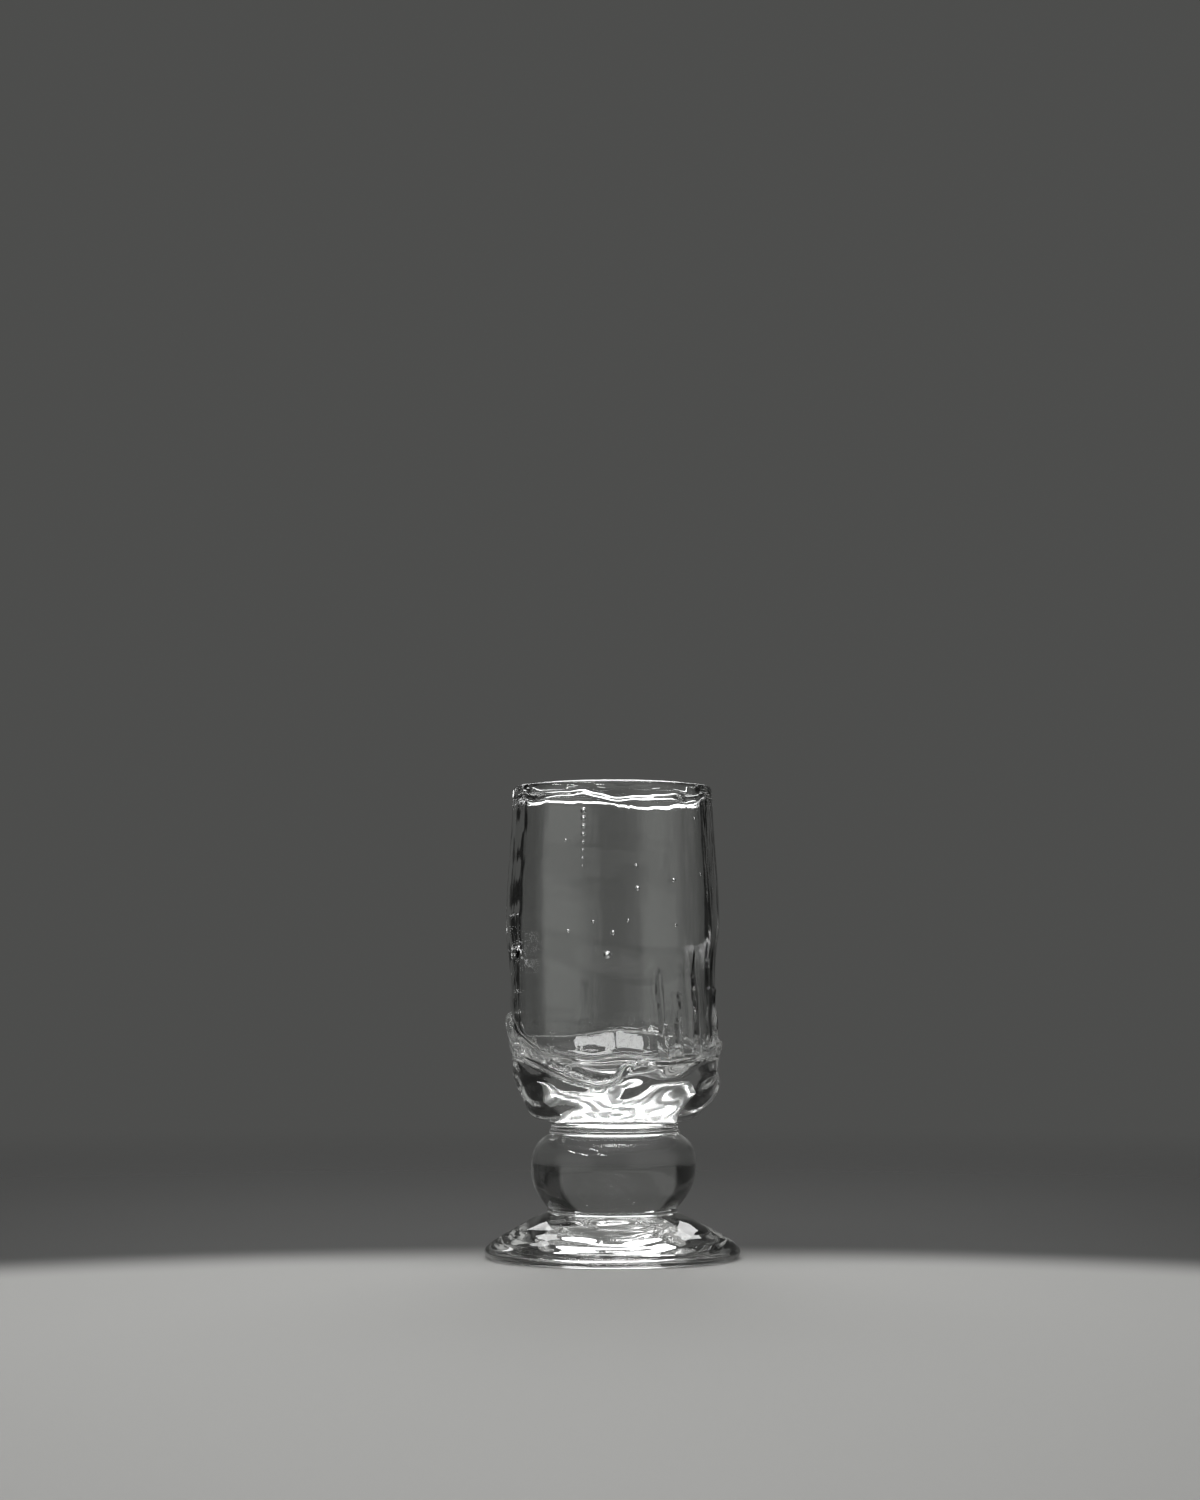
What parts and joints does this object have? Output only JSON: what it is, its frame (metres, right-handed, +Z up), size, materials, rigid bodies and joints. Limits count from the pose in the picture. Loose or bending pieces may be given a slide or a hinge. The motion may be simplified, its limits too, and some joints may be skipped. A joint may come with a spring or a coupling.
{
  "type": "footed drinking glass",
  "caption": "Footed drinking glass of clear hand-worked glass: a thick-walled bowl in a jacket with a trailed lip, on a flattened ball knop and a spread foot.",
  "frame": {"origin": "on the table, under the middle of the foot", "axes": "+Z up along the stem and bowl; -Y is the front, the side that the picture shows, with the trailed lip low in its middle; +X is to the viewer's right"},
  "size_m": [0.076, 0.076, 0.14],
  "materials": {
    "clear_glass": "fire-polished, clear"
  },
  "bodies": {
    "root": {"foot": "clear_glass", "lower_merese": "clear_glass", "knop": "clear_glass", "upper_merese": "clear_glass", "jacket": "clear_glass", "bowl": "clear_glass", "lip_trail": "clear_glass", "side_trail": "clear_glass", "tear_1": "clear_glass", "tear_2": "clear_glass", "tear_3": "clear_glass", "tear_4": "clear_glass"}
  },
  "joints": []
}
